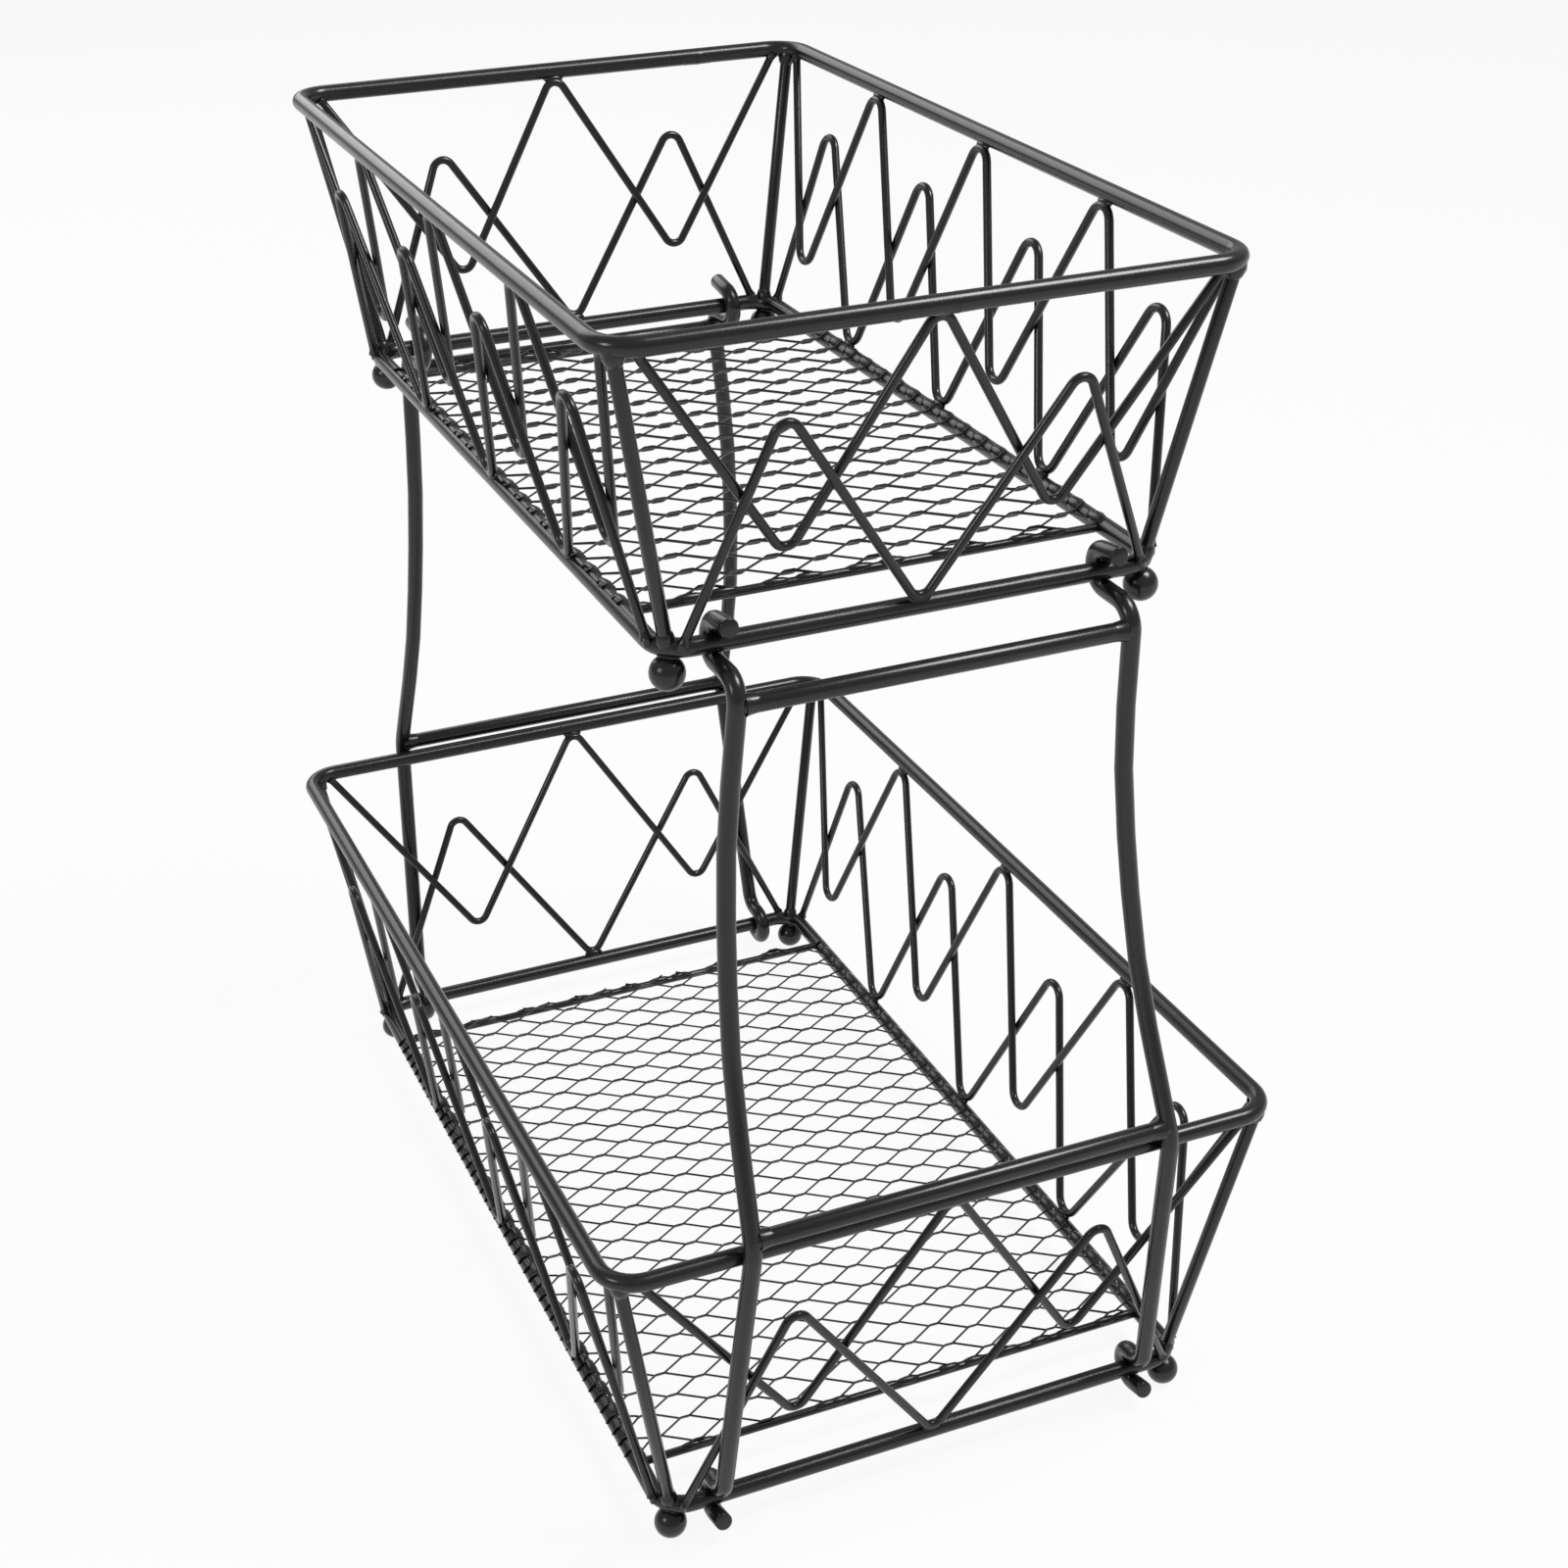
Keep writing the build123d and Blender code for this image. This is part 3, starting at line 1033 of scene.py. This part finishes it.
@dataclass
class Basket:
    """One basket, whose rings take their sizes from the frame's boxes."""

    tier: Tier
    diamonds: Diamonds
    wire: bpy.types.Material
    sheet: bpy.types.Material
    rim_joints: tuple[tuple[End, float], ...] = ()
    rim_bend: float = 12.0 * MM
    base_bend: float = 10.0 * MM
    joint_sink: float = 0.12 * MM
    joint_half: float = 0.2 * MM
    joint_spread: float = 0.04
    end_weld_share: float = 0.42
    turn_weld_share: float = 0.42
    turn_offset_share: float = 0.7
    turn_bead: BeadSize = BeadSize(8.0 * MM, 3.2 * MM)
    post_spread: float = 0.3
    post_top: PostWeld = PostWeld(2.2 * MM, 2.6 * MM, BeadSize(10.0 * MM, 6.6 * MM))
    post_foot: PostWeld = PostWeld(1.8 * MM, 2.2 * MM, BeadSize(9.0 * MM, 6.2 * MM))
    ball_flat: float = 0.3 * MM
    ball_sides: int = 40
    ball_rings: int = 28
    ball_bead: BeadSize = BeadSize(6.4 * MM, 3.4 * MM)
    ball_bead_drop: float = 0.1 * MM

    def __post_init__(self) -> None:
        """Read the rings off the frame and start the welds."""
        self.rim = Ring.of_node(self.node("rim"), self.rim_bend)
        self.base = Ring.of_node(self.node("base_ring"), self.base_bend)
        self.welder = Welder()

    def node(self, name: str) -> str:
        """Full name of one of this basket's nodes."""
        return f"{self.tier.word}_{name}"

    def build(self) -> None:
        """Make every piece of the basket."""
        for name, ring in (("rim", self.rim), ("base_ring", self.base)):
            bender = WireBender(GAUGES.frame, SIDES.frame)
            ring.lay(bender)
            bender.finish(self.node(f"{name}_wire"), self.wire, self.node(name))
        for end, x in self.rim_joints:
            self._rim_joint(Vector((x, end.value * self.rim.length / 2, self.rim.height)))
        for place in WallPlace:
            self._wall(place)
        for end in End:
            for side in Side:
                self._corner(end, side)
        self._floor()
        finish_piece(self.welder.mesh, self.node("weld_beads"), self.wire)
        log.info("%s basket: %d welds", self.tier.word, self.welder.count)

    def _rim_joint(self, point: Vector) -> None:
        """Lay the low ring of a butt weld round the rim.

        Args:
            point: Place of the joint on the wire's centre.
        """
        point = point * (1 - self.joint_sink / point.length)
        for side in Side:
            way = Vector((side.value, 0, 0))
            root = point - way * self.joint_half
            self.welder.flare(root, way, GAUGES.frame / 2, self.joint_spread)

    def _wall_of(self, turn: int) -> Wall:
        """Lay out one wall.

        Args:
            turn: Turn from the near wall, in degrees.

        Returns:
            The wall.
        """
        is_short = turn % 180 == 0
        widths = (self.rim.width / 2, self.base.width / 2)
        lengths = (self.rim.length / 2, self.base.length / 2)
        halves, reaches = (widths, lengths) if is_short else (lengths, widths)
        rim_reach, base_reach = reaches
        spin = Matrix.Rotation(radians(turn), 3, "Z")
        up_slope = Vector((0, base_reach - rim_reach, self.rim.height - self.base.height))
        layout = Layout(
            spin @ Vector((0, -base_reach, self.base.height)),
            spin @ Vector((1, 0, 0)),
            spin @ up_slope.normalized(),
        )
        lattice = SHORT_LATTICE if is_short else LONG_LATTICE
        return Wall(layout, up_slope.length, *halves, lattice)

    def _wall(self, place: WallPlace) -> None:
        """Bend both zig-zag wires of a wall and weld them.

        Args:
            place: Which wall.
        """
        wall = self._wall_of(place.value)
        for kind, (start, moves), side in (
            ("hung", wall.hung(), -1),
            ("standing", wall.standing(), 1),
        ):
            layout = wall.layout.beside(side * GAUGES.lattice_offset)
            bender = WireBender(GAUGES.lattice, SIDES.thin)
            bender.follow(layout, start, moves)
            name = self.node(f"{kind}_lattice_{place.word}")
            bender.finish(name, self.wire, self.node(f"{kind}_zigzag_{place.word}"))
            self._end_welds(layout, start, (moves[0].end - start).normalized())
        self._turn_welds(wall)

    def _end_welds(self, layout: Layout, start: Vector, lead: Vector) -> None:
        """Lay the welds round both ends of a zig-zag wire.

        Args:
            layout: The wire's plane.
            start: Its first point; its last mirrors it.
            lead: Its direction there.
        """
        root = start + lead * GAUGES.frame * self.end_weld_share
        for side in Side:
            mirrored = Vector((side.value * root[0], root[1]))
            away = layout.aim(Vector((side.value * lead[0], lead[1])))
            self.welder.flare(layout.place(mirrored), away, GAUGES.lattice / 2)

    def _turn_welds(self, wall: Wall) -> None:
        """Lay the beads where the zig-zags' turns touch the rings.

        Args:
            wall: The wall that they belong to.
        """
        crest = wall.slope - GAUGES.seat_drop
        seat = GAUGES.lattice * self.turn_weld_share
        offset = GAUGES.lattice_offset * self.turn_offset_share
        for shares, height, side, lift in (
            (wall.lattice.hung, crest, -1, seat),
            (wall.lattice.standing, GAUGES.seat_drop, 1, -seat),
        ):
            layout = wall.layout.beside(side * offset)
            for share in shares[1::2]:
                point = Vector((share * wall.half_width(height), height + lift))
                self.welder.bead(layout.place(point), layout.x_dir, self.turn_bead)

    def _corner(self, end: End, side: Side) -> None:
        """Make the post and the ball foot of one corner.

        Args:
            end: Which end the corner is at.
            side: Which side it is on.
        """
        place = f"{end.word}_{side.word}"
        top, foot = self.rim.corner(end, side), self.base.corner(end, side)
        bender = WireBender(GAUGES.post, SIDES.post)
        bender.straight(foot, top)
        bender.finish(self.node(f"post_wire_{place}"), self.wire, self.node(f"post_{place}"))
        climb = (top - foot).normalized()
        for root, way, weld in ((top, -climb, self.post_top), (foot, climb, self.post_foot)):
            spread = self.post_spread
            self.welder.flare(root + way * weld.flare_in, way, GAUGES.post / 2, spread)
            self.welder.bead(root + way * weld.bead_in, climb, weld.bead)
        self._ball(place, foot)

    def _ball(self, place: str, seat: Vector) -> None:
        """Make a ball foot, cut flat where it stands.

        Args:
            place: The corner's name.
            seat: Wire centre over the ball.
        """
        low, high = node_box(self.node(f"foot_{place}"))
        radius = max(high[0] - low[0], high[1] - low[1]) / 2
        middle = (low + high) / 2
        centre = Vector((middle[0], middle[1], low[2] + radius - self.ball_flat))
        ball = bmesh.new()
        bmesh.ops.create_uvsphere(
            ball,
            u_segments=self.ball_sides,
            v_segments=self.ball_rings,
            radius=radius,
            matrix=Matrix.Translation(centre),
        )
        trim(ball, low, Vector((0, 0, -1)))
        piece = finish_piece(ball, self.node(f"ball_{place}"), self.wire)
        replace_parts(piece, self.node(f"foot_{place}"))
        inward = Vector((-copysign(1, seat[0]), copysign(1, seat[1]), 0))
        under = seat - Vector((0, 0, GAUGES.frame / 2 + self.ball_bead_drop))
        self.welder.bead(under, inward, self.ball_bead)

    def _floor(self) -> None:
        """Lay the cross wires and the expanded metal over them."""
        half, height = self.base.width / 2, self.base.height
        lines = []
        for end in End:
            node = self.node(f"floor_wire_{end.word}")
            low, high = node_box(node)
            y = (low[1] + high[1]) / 2
            bender = WireBender(GAUGES.cross, SIDES.thin)
            bender.straight(Vector((-half, y, height)), Vector((half, y, height)))
            bender.finish(self.node(f"cross_wire_{end.word}"), self.wire, node)
            lines.append(y)
        metal = ExpandedFloor(self.diamonds, self.welder, half, height, *lines)
        piece = metal.build(self.node("expanded_floor"), self.sheet)
        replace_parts(piece, self.node("floor_sheet"))


@dataclass
class ExpandedFloor:
    """Expanded metal: flat wavy strands, bonded side by side and hooked over the wires."""

    diamonds: Diamonds
    welder: Welder
    half: float
    base_z: float
    near_y: float
    far_y: float
    hook_start: float = 155.0
    hook_steps: int = 6
    hook_clearance: float = 0.3 * MM
    overhang: float = 0.5 * MM
    lift_share: float = 0.7
    apart_share: float = 0.47
    cross_bead: BeadSize = BeadSize(11.0 * MM, 3.1 * MM)
    cross_bead_share: float = 0.27
    hook_bead: BeadSize = BeadSize(13.5 * MM, 5.5 * MM)
    hook_bead_angle: float = 118.0
    hook_bead_radius: float = 1.35 * MM
    hook_bead_rise: float = 0.05

    def __post_init__(self) -> None:
        """Take the strand and work out its place over the wires."""
        self.bender = WireBender(GAUGES.strand_width, SIDES.strand)
        lift = GAUGES.strand_width * self.lift_share
        self.level = self.base_z + GAUGES.cross / 2 + lift
        self.hook_radius = (GAUGES.frame + GAUGES.strand_thickness) / 2

    def build(self, name: str, sheet: bpy.types.Material) -> bpy.types.Object:
        """Make the floor.

        Args:
            name: The piece's name.
            sheet: Its finish.

        Returns:
            The floor as one piece.
        """
        routes = [self._route(parity) for parity in (0, 1)]
        for route in routes:
            self._strand(route)
        shifts = self._repeat()
        for y in (self.near_y, self.far_y):
            outward = Vector((0, copysign(1, y), 0))
            trim(self.bender.mesh, outward * (abs(y) + self.overhang), outward)
            self._cross_welds(y, routes, shifts)
        for side in Side:
            self._hook_welds(side, shifts)
        return finish_piece(self.bender.mesh, name, sheet)

    def _strand(self, route: list[Spot]) -> None:
        """Draw one strand, its face tilted as the cutting press leaves it.

        Args:
            route: Its centre, from the left hook to the right one.
        """
        tilt = radians(self.diamonds.tilt)
        start = route[0].point
        up = Vector((start[0] + self.half, 0, start[2] - self.base_z)).normalized()
        direction = (route[1].point - start).normalized()
        face = up * cos(tilt) + up.cross(direction) * sin(tilt)
        self.bender.draw(route, face, GAUGES.strand_thickness / GAUGES.strand_width)

    def _repeat(self) -> list[float]:
        """Copy the first two strands over the whole floor.

        Returns:
            How far each copy lies from the first, which is among them.
        """
        pattern = self.diamonds
        spare = abs(tan(radians(pattern.slant))) * self.half + pattern.pitch_y
        first = floor((self.near_y - spare - pattern.bond_y) / pattern.pitch_y)
        last = ceil((self.far_y + spare - pattern.bond_y) / pattern.pitch_y)
        mesh = self.bender.mesh
        source = mesh.verts[:] + mesh.edges[:] + mesh.faces[:]
        shifts = [row * pattern.pitch_y for row in range(first, last + 1)]
        for shift in shifts:
            if shift:
                copied = bmesh.ops.duplicate(mesh, geom=source)["geom"]
                verts = of_kind(copied, bmesh.types.BMVert)
                bmesh.ops.translate(mesh, vec=(0, shift, 0), verts=verts)
        return shifts

    def _place(self, x: float, y: float, z: float) -> Vector:
        """Point of a strand, with the slant of the rows."""
        return Vector((x, y + x * tan(radians(self.diamonds.slant)), z))

    def _route(self, parity: int) -> list[Spot]:
        """Centre of one strand, from hook to hook.

        Args:
            parity: 0 or 1 for either strand of a row.

        Returns:
            Its points.
        """
        pattern = self.diamonds
        tilt = radians(pattern.tilt)
        first = floor((-self.half - pattern.bond_x) / (pattern.pitch_x / 2))
        last = ceil((self.half - pattern.bond_x) / (pattern.pitch_x / 2))
        apart = GAUGES.strand_width * pattern.swell * self.apart_share
        spots: list[Spot] = []
        for step in range(first, last + 1):
            side = 1 if (step + parity) % 2 else -1
            bond_y = pattern.bond_y + (parity + (side + 1) / 2) * pattern.pitch_y / 2
            y = bond_y - side * cos(tilt) * apart
            z = self.level + side * sin(tilt) * apart
            x = pattern.bond_x + step * pattern.pitch_x / 2
            bond = [self._place(x + shift * pattern.bond, y, z) for shift in (-0.5, 0.5)]
            if spots:
                last_bond = spots[-1].point
                shares = (pattern.taper_share, 1 - pattern.taper_share)
                spots += [Spot(last_bond.lerp(bond[0], share), 1.0) for share in shares]
            spots += [Spot(point, pattern.swell) for point in bond]
        edge = self.half + self.hook_radius * cos(radians(self.hook_start))
        inside = [spot for spot in spots if abs(spot.point[0]) < edge - self.hook_clearance]
        left, right = (self._between(spots, side.value * edge) for side in Side)
        return self._hook(left, Side.LEFT)[::-1] + inside + self._hook(right, Side.RIGHT)

    @staticmethod
    def _between(spots: list[Spot], x: float) -> Vector:
        """Point of a route at one X.

        Args:
            spots: The route.
            x: The place.

        Returns:
            The point.
        """
        points = [spot.point for spot in spots]
        for before, after in zip(points, points[1:]):
            if before[0] <= x <= after[0]:
                return before.lerp(after, (x - before[0]) / (after[0] - before[0]))
        raise ValueError("x is outside the route")

    def _hook(self, start: Vector, side: Side) -> list[Spot]:
        """End of a strand over a long base wire.

        Args:
            start: Where the strand reaches the wire.
            side: Which wire.

        Returns:
            Points from the floor to the strand's tip.
        """
        tip = self.diamonds.left_tip if side is Side.LEFT else self.diamonds.right_tip
        spots = []
        for step in range(self.hook_steps + 1):
            angle = self.hook_start + (tip - self.hook_start) * step / self.hook_steps
            reach = polar(self.hook_radius, angle)
            x = side.value * (self.half + reach[0])
            spots.append(Spot(Vector((x, start[1], self.base_z + reach[1])), 1.0))
        return spots

    def _cross_welds(self, line: float, routes: list[list[Spot]], shifts: list[float]) -> None:
        """Weld every cut end to its cross wire.

        Args:
            line: Place of the wire along Y.
            routes: Both strands of the first row.
            shifts: Places of all rows from the first.
        """
        height = self.base_z + GAUGES.cross * self.cross_bead_share
        for route in routes:
            points = [spot.point for spot in route]
            for before, after in zip(points, points[1:]):
                for shift in shifts:
                    here, there = before[1] + shift - line, after[1] + shift - line
                    if here * there < 0:
                        x = before.lerp(after, here / (here - there))[0]
                        point = Vector((x, line, height))
                        self.welder.bead(point, Vector((1, 0, 0)), self.cross_bead)

    def _hook_welds(self, side: Side, shifts: list[float]) -> None:
        """Thicken the hooked bonds on a long base wire, as the coating fills them.

        Args:
            side: Which wire.
            shifts: Places of all rows from the first.
        """
        pattern = self.diamonds
        x = side.value * self.half
        step = round((x - pattern.bond_x) / (pattern.pitch_x / 2))
        reach = polar(self.hook_bead_radius, self.hook_bead_angle)
        along = Vector((0, 1, self.hook_bead_rise))
        for shift in shifts:
            bond_y = pattern.bond_y + (step % 2) * pattern.pitch_y / 2 + shift
            point = self._place(x, bond_y, self.base_z + reach[1])
            point[0] += side.value * reach[0]
            if self.near_y < point[1] < self.far_y:
                self.welder.bead(point, along, self.hook_bead)


@dataclass
class EndFrame:
    """Two hooked legs and two cross bars at one end of the baskets."""

    end: End
    lower: Basket
    upper: Basket
    wire: bpy.types.Material
    lower_spread: float = 160.0 * MM
    upper_spread: float = 128.0 * MM
    shoulder_reach: float = 17.0 * MM
    waist_reach: float = 10.1 * MM
    waist_drop: float = 63.5 * MM
    knee_reach: float = 19.0 * MM
    knee_drop: float = 129.5 * MM
    kink_rise: float = 5.0 * MM
    shoulder_bend: float = 7.5 * MM
    waist_bend: float = 180.0 * MM
    knee_bend: float = 180.0 * MM
    kink_bend: float = 15.0 * MM
    ankle_bend: float = 7.0 * MM
    upper_stub: float = 10.0 * MM
    lower_stub: float = 7.6 * MM
    upper_stub_angle: float = 8.0
    lower_stub_angle: float = 15.0
    bar_weld_share: float = 0.35
    bar_spread: float = 0.22

    def __post_init__(self) -> None:
        """Work out the frame's height and start its welds."""
        self.rise = self.upper.base.height - self.lower.base.height
        self.rim_height = self.lower.rim.height - self.lower.base.height
        self.welder = Welder()

    def build(self) -> None:
        """Make both legs and both bars."""
        for side in Side:
            self._leg(side)
        for name in ("hook_bar", "rim_bar"):
            self._bar(name)
        finish_piece(self.welder.mesh, f"{self.end.word}_frame_weld_beads", self.wire)
        log.info("%s end frame: %d welds", self.end.word, self.welder.count)

    def _corners(self) -> list[Vector]:
        """Points that a leg bends at, as reach from the middle and height.

        Returns:
            The points from the shoulder down to the ankle.
        """
        base = self.lower.base.length / 2
        flare = (self.lower.rim.length / 2 - base) / self.rim_height
        outward = GAUGES.leg_offset * sqrt(1 + flare**2)
        kink = self.rim_height + self.kink_rise
        ankle = GAUGES.hook_radius
        top = self.upper.base.length / 2
        return [
            Vector((top + self.shoulder_reach, self.rise - GAUGES.hook_radius)),
            Vector((top + self.waist_reach, self.rise - self.waist_drop)),
            Vector((top + self.knee_reach, self.rise - self.knee_drop)),
            Vector((base + flare * kink + outward, kink)),
            Vector((base + flare * ankle + outward, ankle)),
        ]

    def _half_spread(self, height: float) -> float:
        """Distance of a leg from the middle plane at a height."""
        widening = (self.upper_spread - self.lower_spread) * height / self.rise
        return (self.lower_spread + widening) / 2

    def _leg(self, side: Side) -> None:
        """Bend one leg.

        Args:
            side: Which side it is on.
        """
        lean = (self.upper_spread - self.lower_spread) / 2
        stretch = hypot(self.rise, lean) / self.rise
        radius = GAUGES.hook_radius
        upper_centre = Vector((self.upper.base.length / 2, self.rise * stretch))
        lower_centre = Vector((self.lower.base.length / 2, 0))
        shoulder, *bends, ankle = self._corners()
        hook_start = upper_centre + polar(radius, 90 + self.upper_stub_angle)
        corners = [
            upper_centre + polar(radius, 270),
            Vector((shoulder[0], upper_centre[1] - radius)),
            *[Vector((bend[0], bend[1] * stretch)) for bend in bends],
            Vector((ankle[0], radius)),
            lower_centre + polar(radius, 90),
        ]
        radii = (
            self.shoulder_bend,
            self.waist_bend,
            self.knee_bend,
            self.kink_bend,
            self.ankle_bend,
        )
        start = hook_start + polar(self.upper_stub, self.upper_stub_angle)
        moves: list[Move] = [Run(hook_start), Bend(upper_centre, 180 - self.upper_stub_angle)]
        for before, here, after, bend in zip(corners, corners[1:], corners[2:], radii):
            moves += corner_moves(before, here, after, bend)
        hook_end = lower_centre + polar(radius, 270 + self.lower_stub_angle)
        moves += [
            Run(corners[-1]),
            Bend(lower_centre, 180 + self.lower_stub_angle),
            Run(hook_end + polar(self.lower_stub, self.lower_stub_angle)),
        ]
        up_leg = Vector((side.value * lean, 0, self.rise)).normalized()
        origin = Vector((side.value * self.lower_spread / 2, 0, self.lower.base.height))
        layout = Layout(origin, Vector((0, self.end.value, 0)), up_leg)
        bender = WireBender(GAUGES.frame, SIDES.frame)
        bender.follow(layout, start, moves)
        name = f"{self.end.word}_leg_wire_{side.word}"
        bender.finish(name, self.wire, f"{self.end.word}_leg_{side.word}")

    def _bar(self, name: str) -> None:
        """Weld one bar between the legs, where the frame has it.

        Args:
            name: The bar's node name, without the end.
        """
        node = f"{self.end.word}_{name}"
        low, high = node_box(node)
        middle = (low + high) / 2
        half = Vector((self._half_spread(middle[2] - self.lower.base.height), 0, 0))
        bender = WireBender(GAUGES.frame, SIDES.frame)
        bender.straight(middle - half, middle + half)
        bender.finish(f"{node}_wire", self.wire, node)
        for side in Side:
            inward = Vector((-side.value, 0, 0))
            root = middle + half * side.value + inward * GAUGES.frame * self.bar_weld_share
            self.welder.flare(root, inward, GAUGES.frame / 2, self.bar_spread)


@dataclass(frozen=True)
class SoftBox:
    """Square lamp that is aimed at the object."""

    name: str
    place: tuple[float, float, float]
    size: float
    power: float


@dataclass(frozen=True)
class Studio:
    """Pale floor, soft lights and the camera of the photograph, with angles in degrees."""

    focal_px: float = 2631.71
    photo_px: float = 1600.0
    sensor_mm: float = 36.0
    azimuth: float = -23.06
    elevation: float = 27.32
    roll: float = -0.72
    eye_x: float = -0.31302
    eye_y: float = -0.78534
    eye_over_base: float = 0.60624
    world_light: float = 0.15
    mirrored_sky: float = 0.35
    backdrop_white: float = 0.95
    floor_white: float = 0.92
    floor_tone: float = 0.94
    floor_roughness: float = 0.9
    floor_size: float = 6.0
    aim_height: float = 0.2
    soft_boxes: tuple[SoftBox, ...] = (
        SoftBox("back_box", (-0.3, 1.75, 1.35), 1.4, 13.0),
        SoftBox("left_box", (-1.5, -0.5, 1.1), 0.4, 5.0),
        SoftBox("top_box", (0.9, -0.5, 1.86), 0.7, 26.0),
    )

    def build(self, base_z: float) -> None:
        """Set up the whole studio.

        Args:
            base_z: Height of the lower base wire, which the camera's height counts from.
        """
        self._world()
        self._floor()
        self._lamps()
        self._camera(Vector((self.eye_x, self.eye_y, base_z + self.eye_over_base)))

    def _world(self) -> None:
        """White surroundings for what sees them, plain light for the rest."""
        world = bpy.data.worlds.new("studio")
        bpy.context.scene.world = world
        graph = Graph(world, "ShaderNodeOutputWorld")
        plain, white = (
            graph.node("ShaderNodeBackground", None, {"Color": (1, 1, 1, 1), "Strength": strength})
            for strength in (self.world_light, self.backdrop_white)
        )
        sockets = {0: graph.seen(self.mirrored_sky), 1: plain.outputs[0], 2: white.outputs[0]}
        graph.show(graph.node("ShaderNodeMixShader", None, sockets))

    def _floor(self) -> None:
        """Pale floor that keeps the object's shadow."""
        material = bpy.data.materials.new("pale_floor")
        graph = Graph(material, "ShaderNodeOutputMaterial")
        tone = (self.floor_tone, self.floor_tone, self.floor_tone, 1)
        sockets = {"Base Color": tone, "Roughness": self.floor_roughness}
        plain = graph.node("ShaderNodeBsdfPrincipled", None, sockets)
        white = graph.node("ShaderNodeEmission", None, {"Color": (1, 1, 1, 1), "Strength": 1.0})
        lit = graph.seen() * self.floor_white
        sockets = {0: lit, 1: plain.outputs[0], 2: white.outputs[0]}
        graph.show(graph.node("ShaderNodeMixShader", None, sockets))
        mesh = bmesh.new()
        bmesh.ops.create_grid(mesh, x_segments=1, y_segments=1, size=self.floor_size)
        data = bpy.data.meshes.new("studio_floor")
        mesh.to_mesh(data)
        mesh.free()
        data.materials.append(material)
        put_in_scene("studio_floor", data)

    def _lamps(self) -> None:
        """Soft boxes: a broad one behind, a small one at the left and one above."""
        target = Vector((0, 0, self.aim_height))
        for box in self.soft_boxes:
            lamp = bpy.data.lights.new(box.name, "AREA")
            lamp.shape = "SQUARE"
            lamp.size = box.size
            lamp.energy = box.power
            holder = put_in_scene(box.name, lamp)
            holder.location = box.place
            aim = target - holder.location
            holder.rotation_euler = aim.to_track_quat("-Z", "Y").to_euler()

    def _camera(self, eye: Vector) -> None:
        """Camera at the photograph's place, with its lens and its slight roll.

        Args:
            eye: The camera's place.
        """
        turn, climb, roll = (radians(v) for v in (self.azimuth, self.elevation, self.roll))
        back = Vector((sin(turn) * cos(climb), -cos(turn) * cos(climb), sin(climb)))
        level = Vector((cos(turn), sin(turn), 0))
        upright = back.cross(level)
        right = cos(roll) * level + sin(roll) * upright
        up = cos(roll) * upright - sin(roll) * level
        data = bpy.data.cameras.new("camera")
        data.sensor_width = self.sensor_mm
        data.lens = self.focal_px / self.photo_px * self.sensor_mm
        camera = put_in_scene("camera", data)
        axes = Matrix((right, up, back)).transposed().to_4x4()
        camera.matrix_world = Matrix.Translation(eye) @ axes
        bpy.context.scene.camera = camera


def main() -> None:
    """Dress the model and set up the studio."""
    logging.basicConfig(level=logging.INFO, format="%(message)s")
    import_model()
    wire = Coating("black_wire_coating").material()
    sheet = Coating("black_sheet_coating", smooth=0.22, rough=0.32).material()
    lower = Basket(Tier.LOWER, LOWER_DIAMONDS, wire, sheet)
    rim_joints = ((End.NEAR, 3.6 * MM), (End.FAR, 59.4 * MM))
    upper = Basket(Tier.UPPER, UPPER_DIAMONDS, wire, sheet, rim_joints)
    for basket in (lower, upper):
        basket.build()
    for end in End:
        EndFrame(end, lower, upper, wire).build()
    Studio().build(lower.base.height)
    bpy.context.scene.view_settings.view_transform = "Standard"
    bpy.context.view_layer.update()


if __name__ == "__main__":
    main()
